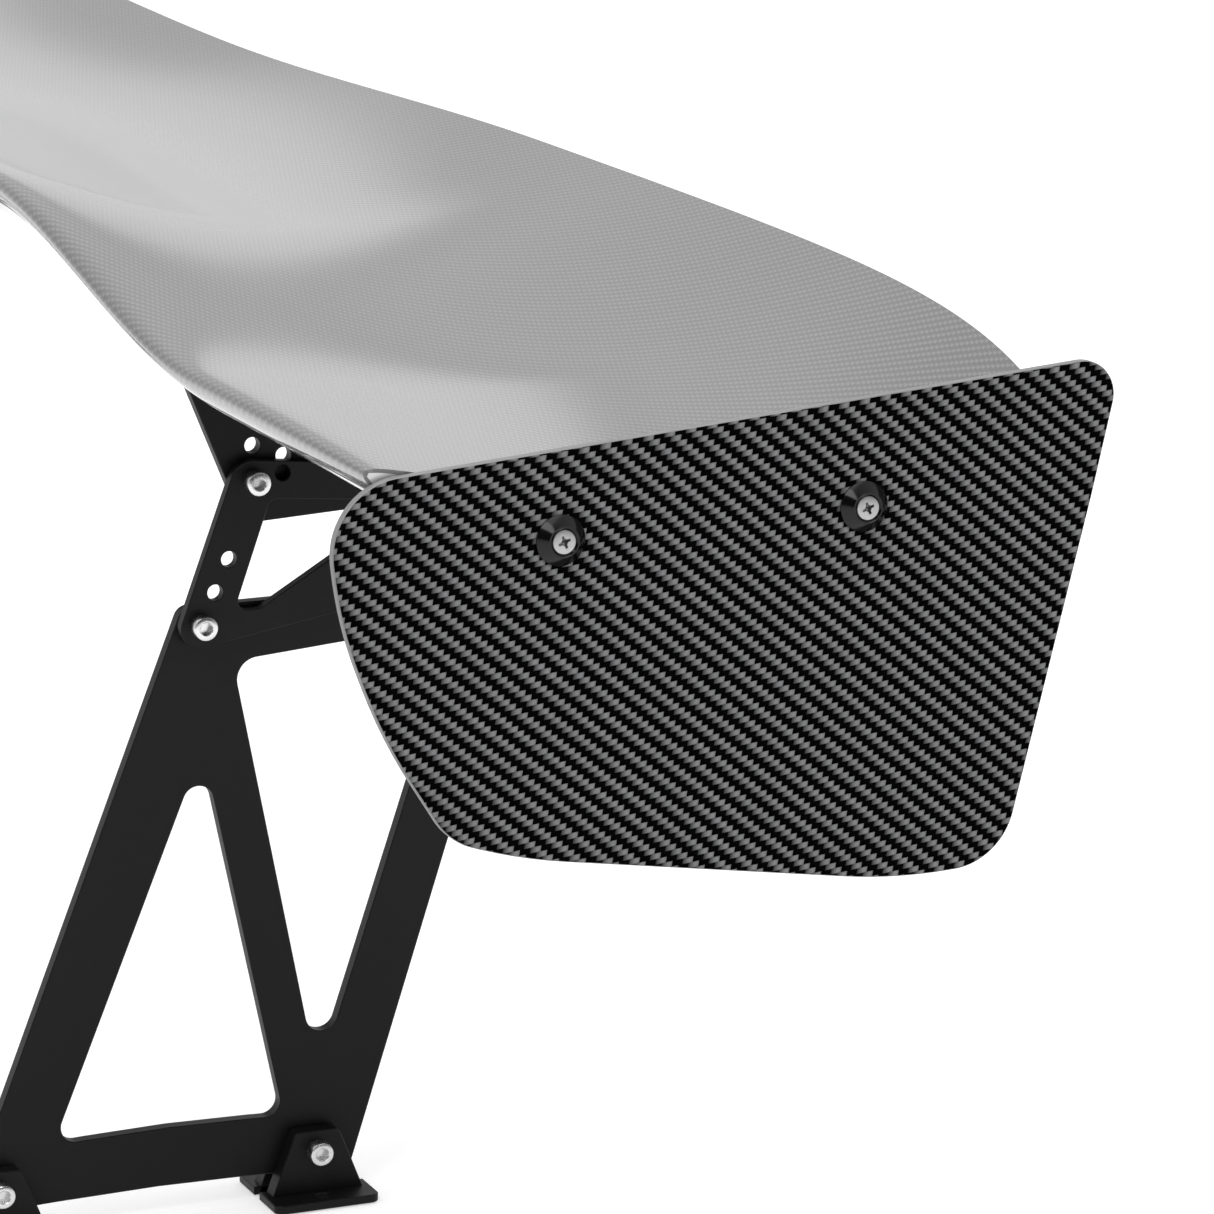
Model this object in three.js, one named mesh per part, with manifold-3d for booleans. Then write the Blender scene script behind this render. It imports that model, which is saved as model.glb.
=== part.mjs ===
// Racing rear wing for a car boot lid: a carbon main element with curved-up centre span, two end plates,
// and two bottom-mount uprights with an angle adjuster and swivelling feet.
// Millimetres. +X runs across the car to the left tip, +Y to the rear, +Z up. The feet stand on Z = 0.
import * as THREE from 'three';
import { mergeVertices } from 'three/addons/utils/BufferGeometryUtils.js';
import Module from 'manifold-3d';

const wasm = await Module();
wasm.setup();

// ---- driving dimensions ----
const HALF_SPAN = 850;          // centre line to the outer face of an end plate
const FIT = 0.3;                // air between pieces that touch on the real object
const PLATE_THICK = 3.5;        // end plate
const SKIN_WALL = 1.4;          // carbon skin
const SECTION_THICK = 29;       // greatest thickness of the wing section
const NOSE_FINE = 0.27;         // how much slimmer the nose is than a plain aerofoil's
const TIP_FINE = 0.25;          // and how much more it slims down at a tip
const CAMBER = 0.14;            // depth of the mean line below the chord, per unit of chord
const NOSE_WALL = 2.5;          // solid nose joint, along the chord
const TAIL_SOLID = 0.05;        // solid part at the trailing edge, per unit of chord
const LEADING = { y: -117.6, z: 382 };     // leading edge at the tip
const TRAILING = { y: 150, z: 409.4 };     // trailing edge away from the tip
const CENTRE_RISE = 38.7;         // how far the leading edge climbs from the tip to the centre span
const RISE_FROM = 169;          // distance in from the tip where the climb starts
const RISE_TO = 427;            // and where it ends
const TIP_FADE = 75;            // length over which the trailing edge droops towards the tip
const TIP_DROOP = 24;
const TIP_SWEEP = 10;
const NOSE_SWEEP = 3.5;         // the leading edge draws back and dips by these at a tip
const NOSE_DROOP = 3;
const CENTRE_DIP = 6.5;         // dip of the trailing edge at the middle of the span
const DIP_FROM = 480;           // distance in from the tip where the dip starts

const UPPER_THICK = 5;          // upper plate of an upright
const LOWER_THICK = 6;          // lower upright and wing bracket
const EAR_THICK = 8;            // ear of a foot
const UPRIGHT_OUTER = HALF_SPAN - 347.3;   // outer face of the lower upright, from the centre line
const HOLE = 6.6;               // clearance hole for an M6 bolt
const BOLT = { d: 6, head: 10, headHeight: 6, socket: 5, socketDepth: 3.2 };
const NUT = { acrossFlats: 10, height: 5 };
const PIVOT = { y: -31.8, z: 303 };        // hinge line of the wing
const LOCK_RADIUS = 108;                   // lock bolt, behind the pivot
const LOCK_UP = 7;                         // degrees of travel, rear edge up
const LOCK_DOWN = 5;
const CLAMP_FRONT = { y: -54.9, z: 246 };
const CLAMP_REAR = { y: 69, z: 241 };
const HEIGHT_STEP = 14.4;       // spacing of the height holes
const HEIGHT_LEAN = 24.4;       // lean of the row of height holes from upright, degrees
const FOOT_FRONT = -144.8;      // foot bolt, Y
const FOOT_REAR = -8.9;
const FOOT_BOLT_Z = 21;
const FOOT_LENGTH = 45.4;
const FLANGE_REACH = 21;        // base flange, measured outward from the upright
const FLANGE_THICK = 3.5;
const FLANGE_HOLE_IN = 7;       // from a flange's outer edge to its hole
const EAR_HALF_TOP = 9.5;       // half length of an ear's top edge
const EAR_ABOVE = 8.5;          // from the foot bolt up to an ear's top edge
const EAR_SET = 2;              // an ear is this much shorter than its flange at each end

const PITCH = 5.94;             // end plates and screws are set nose down by this angle, degrees
const SCREWS = [{ name: 'front', y: -44.5, z: 351 }, { name: 'rear', y: 69.9, z: 353.3 }];
const SCREW = { d: 5, head: 9.4, washer: 18, washerHeight: 4.2, length: 16 };
const SCREW_HOLE = 5.6;

const RIB_TIP_THICK = 12;
const RIB_MOUNT_THICK = 6;
const FRONT_SPAR = 0.14;        // place of the spars, per unit of chord
const REAR_SPAR = 0.72;
const SPAR_THICK = 3;
const TIP_RIB_FRONT = 0.08;     // extent of the tip ribs, per unit of chord
const TIP_RIB_REAR = 0.9;
const RIB_GAP = 0.03;           // from a spar to a mount rib, per unit of chord
const BOND = 0.9;               // room for adhesive between a skin and a rib or spar

// Stations of every lofted piece of the wing, as distances in from a tip. They lie closer where it curves.
const SKIN_END = HALF_SPAN - PLATE_THICK - FIT;
const RIB_END = SKIN_END - RIB_TIP_THICK - 2 * FIT;
const TIP_STATIONS = [40, 70, 110, 150, 185, 220, 255, 290, 320, 346, 362, 395, 440, 540, 640, 740];
const HALF_STATIONS = [SKIN_END, RIB_END, ...TIP_STATIONS.map((tip) => HALF_SPAN - tip)];
const STATIONS = [...HALF_STATIONS, 0, ...HALF_STATIONS.slice().reverse().map((x) => -x)];

// ---- materials ----
function finish(color, roughness, metalness) {
  return new THREE.MeshStandardMaterial({ color, roughness, metalness });
}

const CARBON = finish(0x2b2c2e, 0.2, 0);
const CARBON_PLATE = finish(0x1c1d1f, 0.25, 0);
const BLACK_ALLOY = finish(0x17181a, 0.45, 0.6);
const BARE_ALLOY = finish(0xa9acb0, 0.4, 1);
const STEEL = finish(0xc6c8ca, 0.3, 1);
const WASHER_BLACK = finish(0x0b0b0c, 0.12, 0.4);

// ---- helpers ----
const rad = THREE.MathUtils.degToRad;
const smooth = THREE.MathUtils.smoothstep;
const pieces = new THREE.Group();

function addPiece(name, geometry, material, parent = pieces) {
  const mesh = new THREE.Mesh(geometry, material);
  mesh.name = name;
  parent.add(mesh);
  return mesh;
}

// A closed outline from corner points [y, z, radius], with each radius laid in as an arc.
function outline(corners, stepDegrees = 15) {
  const loop = [];
  corners.forEach(([y, z, radius], i) => {
    const corner = new THREE.Vector2(y, z);
    const [py, pz] = corners[(i + corners.length - 1) % corners.length];
    const [ny, nz] = corners[(i + 1) % corners.length];
    const back = new THREE.Vector2(py, pz).sub(corner).normalize();
    const ahead = new THREE.Vector2(ny, nz).sub(corner).normalize();
    const half = Math.acos(THREE.MathUtils.clamp(back.dot(ahead), -1, 1)) / 2;
    if (!radius || half > rad(89.5)) {
      loop.push(corner);
      return;
    }
    const bisector = back.clone().add(ahead).normalize();
    const centre = corner.clone().addScaledVector(bisector, radius / Math.sin(half));
    const start = corner.clone().addScaledVector(back, radius / Math.tan(half)).sub(centre);
    const turn = Math.sign(back.cross(ahead)) * -1 * (Math.PI - 2 * half);
    const steps = Math.max(2, Math.ceil(Math.abs(turn) / rad(stepDegrees)));
    for (let k = 0; k <= steps; k += 1) {
      loop.push(start.clone().rotateAround(new THREE.Vector2(), turn * k / steps).add(centre));
    }
  });
  return loop;
}

// A round hole whose flats lie on the stated diameter.
function hole(y, z, diameter, sides = 12) {
  const radius = diameter / 2 / Math.cos(Math.PI / sides);
  return Array.from({ length: sides }, (_, i) => new THREE.Vector2(
    y + radius * Math.cos(2 * Math.PI * i / sides), z + radius * Math.sin(2 * Math.PI * i / sides)));
}

// A flat plate in the YZ plane, its thickness centred on X = 0.
function plate(loop, holes, thickness) {
  const shape = new THREE.Shape(loop);
  shape.holes = holes.map((points) => new THREE.Path(points));
  const geometry = new THREE.ExtrudeGeometry(shape, { depth: thickness, bevelEnabled: false });
  geometry.translate(0, 0, -thickness / 2);
  const toYZ = new THREE.Matrix4().makeBasis(
    new THREE.Vector3(0, 1, 0), new THREE.Vector3(0, 0, 1), new THREE.Vector3(1, 0, 0));
  return geometry.applyMatrix4(toYZ);
}

// A turned piece on the X axis, from profile points [x, radius].
function turned(profile, sides = 12) {
  const points = profile.map(([x, radius]) => new THREE.Vector2(radius, x));
  return new THREE.LatheGeometry(points, sides).rotateZ(-Math.PI / 2);
}

// A closed skin through rings of points, one ring for each station, capped at both ends.
function loft(rings) {
  const count = rings[0].length;
  const position = rings.flat().flatMap((p) => [p.x, p.y, p.z]);
  const index = [];
  for (let r = 0; r + 1 < rings.length; r += 1) {
    for (let i = 0; i < count; i += 1) {
      const a = r * count + i;
      const b = r * count + (i + 1) % count;
      index.push(a, a + count, b, b, a + count, b + count);
    }
  }
  const cap = (ring, first, flip) => {
    const flat = ring.map((p) => new THREE.Vector2(p.y, p.z));
    for (const [i, j, k] of THREE.ShapeUtils.triangulateShape(flat, [])) {
      index.push(first + i, first + (flip ? k : j), first + (flip ? j : k));
    }
  };
  cap(rings[0], 0, false);
  cap(rings[rings.length - 1], (rings.length - 1) * count, true);
  const geometry = new THREE.BufferGeometry();
  geometry.setAttribute('position', new THREE.Float32BufferAttribute(position, 3));
  geometry.setIndex(index);
  return geometry;
}

function toSolid(geometry) {
  const bare = geometry.clone();
  bare.deleteAttribute('normal');
  bare.deleteAttribute('uv');
  const merged = mergeVertices(bare, 1e-4);
  return new wasm.Manifold(new wasm.Mesh({
    numProp: 3,
    vertProperties: new Float32Array(merged.attributes.position.array),
    triVerts: new Uint32Array(merged.index.array),
  }));
}

function toGeometry(solid) {
  const mesh = solid.getMesh();
  const geometry = new THREE.BufferGeometry();
  geometry.setAttribute('position', new THREE.Float32BufferAttribute(mesh.vertProperties, 3));
  geometry.setIndex(Array.from(mesh.triVerts));
  return geometry;
}

// ---- wing section ----
// 1 at a tip, fading towards the centre.
const tipFade = (x) => Math.exp((Math.abs(x) - HALF_SPAN) / TIP_FADE);

// Leading and trailing edge at distance x from the centre line.
function edges(x) {
  const tip = HALF_SPAN - Math.abs(x);
  const fade = tipFade(x);
  const rise = CENTRE_RISE * smooth(tip, RISE_FROM, RISE_TO);
  const dip = CENTRE_DIP * smooth(tip, DIP_FROM, HALF_SPAN);
  return {
    nose: new THREE.Vector2(LEADING.y + NOSE_SWEEP * fade, LEADING.z + rise - NOSE_DROOP * fade),
    tail: new THREE.Vector2(TRAILING.y - TIP_SWEEP * fade, TRAILING.z - TIP_DROOP * fade - dip),
  };
}

// Half thickness along the chord, about 1 at the thickest point: round nose, thin tail.
function fullness(x, s) {
  const plain = 4 * Math.sqrt(s) - 4.2698 * s + 1.2704 * s * s - 0.9406 * s ** 3;
  return plain * (1 - (NOSE_FINE + TIP_FINE * tipFade(x)) * (1 - s) ** 6);
}

// A point at fraction s of the chord, the given height above (+) or below (-) the mean line.
function sectionPoint(x, s, height) {
  const { nose, tail } = edges(x);
  const chord = tail.clone().sub(nose);
  const up = new THREE.Vector2(-chord.y, chord.x).normalize();
  const depth = 4 * CAMBER * chord.length();
  const mean = nose.clone().addScaledVector(chord, s).addScaledVector(up, -depth * s * (1 - s));
  const along = chord.clone().addScaledVector(up, -depth * (1 - 2 * s)).normalize();
  return new THREE.Vector3(x, mean.x - along.y * height, mean.y + along.x * height);
}

const outerHalf = (x, s) => SECTION_THICK / 2 * fullness(x, s) + FIT / 2;
const NOSE_INNER = NOSE_WALL / (TRAILING.y - LEADING.y);

function innerHalf(x, s) {
  const u = THREE.MathUtils.clamp((s - NOSE_INNER) / (1 - TAIL_SOLID - NOSE_INNER), 0, 1);
  return (SECTION_THICK / 2 - SKIN_WALL) * fullness(x, u) + FIT / 2;
}

const CHORD_STEPS = 13;
const cosineStep = (i) => (1 - Math.cos(Math.PI * i / CHORD_STEPS)) / 2;

// One skin: side +1 is the upper, -1 the lower. They part along the mean line.
function skin(side) {
  const rings = STATIONS.map((x) => {
    const ring = [];
    for (let i = 0; i <= CHORD_STEPS; i += 1) {
      ring.push(sectionPoint(x, cosineStep(i), side * outerHalf(x, cosineStep(i))));
    }
    ring.push(sectionPoint(x, 1, side * FIT / 2));
    for (let i = CHORD_STEPS; i >= 0; i -= 1) {
      const s = NOSE_INNER + (1 - TAIL_SOLID - NOSE_INNER) * cosineStep(i);
      ring.push(sectionPoint(x, s, side * innerHalf(x, s)));
    }
    return side > 0 ? ring.reverse() : ring;
  });
  return loft(rings);
}

// A solid slice of the hollow between the skins, from chord fraction s0 to s1.
function filler(stations, s0, s1, steps) {
  const rings = stations.map((x) => {
    const lower = [];
    const upper = [];
    for (let i = 0; i <= steps; i += 1) {
      const s = s0 + (s1 - s0) * i / steps;
      const half = innerHalf(x, s) - BOND;
      lower.push(sectionPoint(x, s, -half));
      upper.unshift(sectionPoint(x, s, half));
    }
    return [...lower, ...upper];
  });
  return loft(rings);
}

// ---- main element ----
const bracketMiddle = UPRIGHT_OUTER - LOWER_THICK / 2;
const BRACKET_SLOT = { from: -76, to: 70, middle: 370, height: 70 };    // wing bracket through the lower skin

let lowerSkin = toSolid(skin(-1));
for (const side of [1, -1]) {
  const length = BRACKET_SLOT.to - BRACKET_SLOT.from;
  const slot = new THREE.BoxGeometry(LOWER_THICK + 2 * FIT, length, BRACKET_SLOT.height);
  slot.translate(side * bracketMiddle, BRACKET_SLOT.from + length / 2, BRACKET_SLOT.middle);
  lowerSkin = lowerSkin.subtract(toSolid(slot));
}
addPiece('airfoil_upper_skin', skin(1), CARBON);
addPiece('airfoil_lower_skin', toGeometry(lowerSkin), CARBON);

const sparStations = STATIONS.filter((x) => Math.abs(x) <= RIB_END);
const halfSpar = SPAR_THICK / 2 / (TRAILING.y - LEADING.y);
addPiece('front_spar', filler(sparStations, FRONT_SPAR - halfSpar, FRONT_SPAR + halfSpar, 1), CARBON_PLATE);
addPiece('rear_spar', filler(sparStations, REAR_SPAR - halfSpar, REAR_SPAR + halfSpar, 1), CARBON_PLATE);

for (const [name, side] of [['left', 1], ['right', -1]]) {
  const span = (outer, inner) => (side > 0 ? [outer, inner] : [-inner, -outer]);
  const screwAxis = (at) => {
    const bore = new THREE.CylinderGeometry(SCREW_HOLE / 2, SCREW_HOLE / 2, 60, 12).rotateZ(Math.PI / 2);
    return toSolid(bore.translate(side * HALF_SPAN, at.y, at.z));
  };
  let tipRib = toSolid(filler(span(SKIN_END - FIT, RIB_END + FIT), TIP_RIB_FRONT, TIP_RIB_REAR, 14));
  for (const at of SCREWS) {
    tipRib = tipRib.subtract(screwAxis(at));
  }
  addPiece(`tip_rib_${name}`, toGeometry(tipRib), BARE_ALLOY);
  const mountOuter = bracketMiddle - LOWER_THICK / 2 - FIT;
  const mountSpan = span(mountOuter, mountOuter - RIB_MOUNT_THICK);
  addPiece(`mount_rib_${name}`, filler(mountSpan, FRONT_SPAR + RIB_GAP, REAR_SPAR - RIB_GAP, 10), BARE_ALLOY);
}

// ---- end plates, cup washers and screws ----
// The outline lies in the plate's own pitched frame, about the middle of its front half.
const PLATE_CORNERS = [[-97, 59.6, 26], [-96.8, 12, 150], [-85.5, -31, 200], [-66, -71, 25],
  [-40, -82.8, 200], [100, -120.4, 200], [141.8, -122.6, 25], [188.3, 4, 300], [205.2, 53, 13]];
const PLATE_ORIGIN = { y: -27, z: 326 };

function endPlate() {
  const turn = new THREE.Vector2(PLATE_ORIGIN.y, PLATE_ORIGIN.z);
  const pitched = (point) => point.rotateAround(new THREE.Vector2(), rad(PITCH)).add(turn);
  const loop = outline(PLATE_CORNERS, 6).map(pitched);
  return plate(loop, SCREWS.map((at) => hole(at.y, at.z, SCREW_HOLE)), PLATE_THICK);
}

function cupWasher() {
  const { washer, washerHeight: top, head } = SCREW;
  const rim = head / 2 + 0.9;
  const bore = SCREW_HOLE / 2;
  const cone = head / 2 + FIT;
  return turned([[FIT, bore], [FIT, washer / 2], [1.1, washer / 2], [top, rim], [top, cone],
    [top - (cone - bore), bore], [FIT, bore]], 20);
}

function countersunkScrew() {
  const { d, head, washerHeight: top, length } = SCREW;
  const cone = top - (head - d) / 2;
  return turned([[top, 0], [top, head / 2], [cone, d / 2], [-length, d / 2], [-length, 0]].reverse());
}

for (const [name, side] of [['left', 1], ['right', -1]]) {
  addPiece(`end_plate_${name}`, endPlate(), CARBON_PLATE).position.x = side * (HALF_SPAN - PLATE_THICK / 2);
  for (const at of SCREWS) {
    const group = new THREE.Group();
    group.position.set(side * HALF_SPAN, at.y, at.z);
    group.rotation.z = side > 0 ? 0 : Math.PI;
    addPiece(`cup_washer_${at.name}_${name}`, cupWasher(), WASHER_BLACK, group);
    addPiece(`end_plate_screw_${at.name}_${name}`, countersunkScrew(), STEEL, group);
    pieces.add(group);
  }
}

// ---- M6 hardware ----
function capBolt(grip) {
  const { d, head, headHeight, socket, socketDepth } = BOLT;
  const end = -(grip + NUT.height + 3);
  return turned([[end, 0], [end, d / 2], [FIT, d / 2], [FIT, head / 2], [headHeight - 0.5, head / 2],
    [headHeight, head / 2 - 0.5], [headHeight, socket / 2], [headHeight - socketDepth, socket / 2],
    [headHeight - socketDepth, 0]]);
}

function hexNut() {
  const corner = NUT.acrossFlats / 2 / Math.cos(Math.PI / 6);
  const hexagon = Array.from({ length: 6 }, (_, i) => new THREE.Vector2(
    corner * Math.cos(Math.PI * i / 3), corner * Math.sin(Math.PI * i / 3)));
  return plate(hexagon, [hole(0, 0, BOLT.d + 2 * FIT)], NUT.height);
}

// A bolt and nut through a stack whose outer face is at distance outer from the centre line.
function fasten(label, name, side, outer, grip, y, z, parent) {
  const bolt = addPiece(`${label}_bolt_${name}`, capBolt(grip), STEEL, parent);
  bolt.position.set(side * outer, y, z);
  bolt.rotation.z = side > 0 ? 0 : Math.PI;
  const nut = addPiece(`${label}_nut_${name}`, hexNut(), STEEL, parent);
  nut.position.set(side * (outer - grip - FIT - NUT.height / 2), y, z);
}

// ---- uprights ----
const rowStep = { y: HEIGHT_STEP * Math.sin(rad(HEIGHT_LEAN)), z: HEIGHT_STEP * Math.cos(rad(HEIGHT_LEAN)) };
function heightHoles(from) {
  return [0, 1, 2].map((k) => hole(from.y + k * rowStep.y, from.z + k * rowStep.z, HOLE));
}
const lockAt = (degrees, radius) => new THREE.Vector2(
  PIVOT.y + radius * Math.cos(rad(degrees)), PIVOT.z + radius * Math.sin(rad(degrees)));

// The curved slot that the lock bolt travels in.
function lockSlot() {
  const loop = [];
  const half = HOLE / 2 + 0.2;
  const end = (degrees, from) => {
    const centre = lockAt(degrees, LOCK_RADIUS);
    for (let k = 0; k <= 6; k += 1) {
      const angle = rad(degrees + from + 30 * k);
      loop.push(new THREE.Vector2(centre.x + half * Math.cos(angle), centre.y + half * Math.sin(angle)));
    }
  };
  end(LOCK_UP, 0);
  for (let degrees = LOCK_UP - 3; degrees > -LOCK_DOWN; degrees -= 3) {
    loop.push(lockAt(degrees, LOCK_RADIUS - half));
  }
  end(-LOCK_DOWN, 180);
  for (let degrees = -LOCK_DOWN + 3; degrees < LOCK_UP; degrees += 3) {
    loop.push(lockAt(degrees, LOCK_RADIUS + half));
  }
  return loop;
}

const UPPER_CORNERS = [[-39, 312.4, 9], [-68, 234.6, 8], [40, 252.8, 12], [55.5, 231.5, 9],
  [78.5, 231.5, 9], [99, 284, 20], [92, 326.5, 12], [66, 326.5, 14], [56, 303.2, 16]];
const UPPER_WINDOW = [[-25.2, 295.4, 4], [-41, 251, 4], [-30, 251, 4], [36, 290, 5]];
const SPARE_HOLE = { y: -19.9, z: 305.7 };
const LOWER_CORNERS = [[-61.4, 252.8, 6], [-142, 50, 20], [-157, 35, 14], [-157, 9.5, 11],
  [-75, 12.5, 1200], [8.2, 9.5, 5], [88, 253.6, 8]];
const FRONT_CUTOUT = [[-53.4, 194.2, 6.5], [-119.3, 35, 6.5], [-70, 37.2, 800], [-20.5, 35, 6.5]];
const REAR_CUTOUT = [[-40, 229, 9], [-5.3, 49.3, 7], [58.6, 236.7, 9]];
const BRACKET_BOTTOM = [[-34.6, 285, 3], [88.5, 291, 9], [88.5, 315, 12]];
const BRACKET_TOP = { front: 0.175, rear: 0.67, depth: 8, steps: 7 };
const BRACKET_HOLES = [{ y: -30.7, z: 316.6 }, { y: -17.6, z: 311.6 }];

// The wing bracket: its upper edge follows the lower skin, just inside it.
function wingBracket() {
  const top = [];
  for (let i = 0; i <= BRACKET_TOP.steps; i += 1) {
    const s = BRACKET_TOP.rear + (BRACKET_TOP.front - BRACKET_TOP.rear) * i / BRACKET_TOP.steps;
    const point = sectionPoint(bracketMiddle, s, -outerHalf(bracketMiddle, s));
    top.push([point.y, point.z + BRACKET_TOP.depth, 0]);
  }
  const lock = lockAt(0, LOCK_RADIUS);
  const holes = [PIVOT, ...BRACKET_HOLES, { y: lock.x, z: lock.y }].map((at) => hole(at.y, at.z, HOLE));
  return plate(outline([...BRACKET_BOTTOM, ...top]), holes, LOWER_THICK);
}

function upperPlate() {
  const holes = [hole(PIVOT.y, PIVOT.z, HOLE), hole(SPARE_HOLE.y, SPARE_HOLE.z, HOLE), lockSlot(),
    ...heightHoles(CLAMP_FRONT), ...heightHoles(CLAMP_REAR), outline(UPPER_WINDOW)];
  return plate(outline(UPPER_CORNERS), holes, UPPER_THICK);
}

function lowerUpright() {
  const bolts = [CLAMP_FRONT, CLAMP_REAR];
  bolts.push({ y: FOOT_FRONT, z: FOOT_BOLT_Z }, { y: FOOT_REAR, z: FOOT_BOLT_Z });
  const holes = bolts.map((at) => hole(at.y, at.z, HOLE));
  const cutouts = [outline(FRONT_CUTOUT), outline(REAR_CUTOUT)];
  return plate(outline(LOWER_CORNERS), [...holes, ...cutouts], LOWER_THICK);
}

// One L-shaped half of a foot: an ear on the upright's face and a base flange that points along +X.
function footBracket() {
  const half = FOOT_LENGTH / 2;
  const root = half - EAR_SET;
  const bottom = FLANGE_THICK - 1;
  const top = FOOT_BOLT_Z + EAR_ABOVE;
  const corners = [[-root, bottom, 0], [root, bottom, 0], [EAR_HALF_TOP, top, 3], [-EAR_HALF_TOP, top, 3]];
  const ear = plate(outline(corners), [hole(0, FOOT_BOLT_Z, HOLE)], EAR_THICK);
  ear.translate(EAR_THICK / 2, 0, 0);
  const base = new THREE.Shape(outline([[0, -half, 0], [FLANGE_REACH, -half, 4], [FLANGE_REACH, half, 4],
    [0, half, 0]]));
  base.holes = [new THREE.Path(hole(FLANGE_REACH - FLANGE_HOLE_IN, 0, HOLE))];
  const flange = new THREE.ExtrudeGeometry(base, { depth: FLANGE_THICK, bevelEnabled: false });
  return toGeometry(toSolid(ear).add(toSolid(flange)));
}

for (const [name, side] of [['left', 1], ['right', -1]]) {
  const upperOuter = UPRIGHT_OUTER + FIT + UPPER_THICK;
  const upperGrip = UPPER_THICK + FIT + LOWER_THICK;
  addPiece(`lower_upright_${name}`, lowerUpright(), BLACK_ALLOY).position.x = side * bracketMiddle;
  addPiece(`wing_bracket_${name}`, wingBracket(), BLACK_ALLOY).position.x = side * bracketMiddle;
  const upper = addPiece(`upper_plate_${name}`, upperPlate(), BLACK_ALLOY);
  upper.position.x = side * (upperOuter - UPPER_THICK / 2);
  const lock = lockAt(0, LOCK_RADIUS);
  fasten('pivot', name, side, upperOuter, upperGrip, PIVOT.y, PIVOT.z, pieces);
  fasten('lock', name, side, upperOuter, upperGrip, lock.x, lock.y, pieces);
  fasten('clamp', `front_${name}`, side, upperOuter, upperGrip, CLAMP_FRONT.y, CLAMP_FRONT.z, pieces);
  fasten('clamp', `rear_${name}`, side, upperOuter, upperGrip, CLAMP_REAR.y, CLAMP_REAR.z, pieces);

  for (const [end, y] of [['front', FOOT_FRONT], ['rear', FOOT_REAR]]) {
    const foot = new THREE.Group();
    const earOuter = UPRIGHT_OUTER + FIT + EAR_THICK;
    const footGrip = 2 * (EAR_THICK + FIT) + LOWER_THICK;
    const outer = addPiece(`foot_outer_${end}_${name}`, footBracket(), BLACK_ALLOY, foot);
    outer.position.x = side * (UPRIGHT_OUTER + FIT);
    outer.rotation.z = side > 0 ? 0 : Math.PI;
    const inner = addPiece(`foot_inner_${end}_${name}`, footBracket(), BLACK_ALLOY, foot);
    inner.position.x = side * (UPRIGHT_OUTER - LOWER_THICK - FIT);
    inner.rotation.z = side > 0 ? Math.PI : 0;
    fasten('foot', `${end}_${name}`, side, earOuter, footGrip, 0, FOOT_BOLT_Z, foot);
    foot.position.y = y;
    pieces.add(foot);
  }
}

export default pieces;
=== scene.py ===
import math

import bmesh
import bpy
from mathutils import Matrix, Vector


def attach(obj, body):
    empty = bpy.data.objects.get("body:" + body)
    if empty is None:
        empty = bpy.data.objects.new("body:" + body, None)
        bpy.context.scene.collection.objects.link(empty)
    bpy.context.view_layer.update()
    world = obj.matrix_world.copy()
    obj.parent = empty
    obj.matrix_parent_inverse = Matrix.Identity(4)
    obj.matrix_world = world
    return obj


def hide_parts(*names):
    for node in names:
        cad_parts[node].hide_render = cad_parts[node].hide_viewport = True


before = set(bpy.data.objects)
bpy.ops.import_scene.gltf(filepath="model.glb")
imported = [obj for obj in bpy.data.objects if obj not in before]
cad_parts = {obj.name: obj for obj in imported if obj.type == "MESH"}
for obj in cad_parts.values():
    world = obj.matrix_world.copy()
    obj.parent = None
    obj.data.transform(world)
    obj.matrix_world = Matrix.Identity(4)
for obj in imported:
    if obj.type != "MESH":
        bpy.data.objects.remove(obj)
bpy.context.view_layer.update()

# Sizes are in millimetres, as in the CAD source; MM turns them into Blender's metres.
MM = 0.001
SIDES = (("left", 1), ("right", -1))
ENDS = ("front", "rear")

HALF_SPAN = 850                 # centre line to the outer face of an end plate
PLATE_THICK = 3.5               # end plate
FIT = 0.3                       # air between pieces that touch on the real object
UPRIGHT_OUTER = HALF_SPAN - 347.3    # outer face of the lower upright
UPPER_THICK = 5                 # upper plate of an upright
LOWER_THICK = 6                 # lower upright and wing bracket
EAR_THICK = 8                   # ear of a foot
HOLE = 6.6                      # clearance hole for an M6 bolt
PIVOT = (-31.8, 303)            # hinge line of the wing, as (y, z)
LOCK_RADIUS = 108               # lock bolt, behind the pivot
LOCK_UP = 7                     # degrees of travel, rear edge up
LOCK_DOWN = 5
CLAMPS = {"front": (-54.9, 246), "rear": (69, 241)}
HEIGHT_STEP = 14.4              # spacing and lean of the height holes
HEIGHT_LEAN = math.radians(24.4)
FOOT_Y = {"front": -144.8, "rear": -8.9}
FOOT_BOLT_Z = 21
PITCH = math.radians(5.94)      # the end plates are set nose down by this
SCREWS = {"front": (-44.5, 351), "rear": (69.9, 353.3)}
PLATE_TOW = 2.0                 # width of one tow of the end plates' twill
SKIN_TOW = 1.5                  # and of the skins'
SLANT = 0.3                     # lean of a float's ends, per tow
FLOAT_END = 0.16                # how gently a float rises at its ends and at its sides: 0 is square
FLOAT_SIDE = 0.14
TOW_RELIEF = 0.00012            # height of a tow in metres, and how strongly it shows
TOW_BUMP = 0.4
FIBRES = (700, 9000)            # fineness of the fibres' noise, along and across a tow, per metre
FLOAT_SHEEN_LOW = 0.15               # brightness of the painted sheen at the dark end of a float

# ---------------------------------------------------------------- camera, light and floor
AIM = Vector((HALF_SPAN, -27, 326)) * MM
CAMERA_AZIMUTH = math.radians(66.6)
CAMERA_ELEVATION = math.radians(13.3)
CAMERA_ROLL = math.radians(0.2)
CAMERA_DISTANCE = 1.8934
LENS = 164.2
LIGHT_AIM = Vector((0.5, 0, 0.3))

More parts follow.
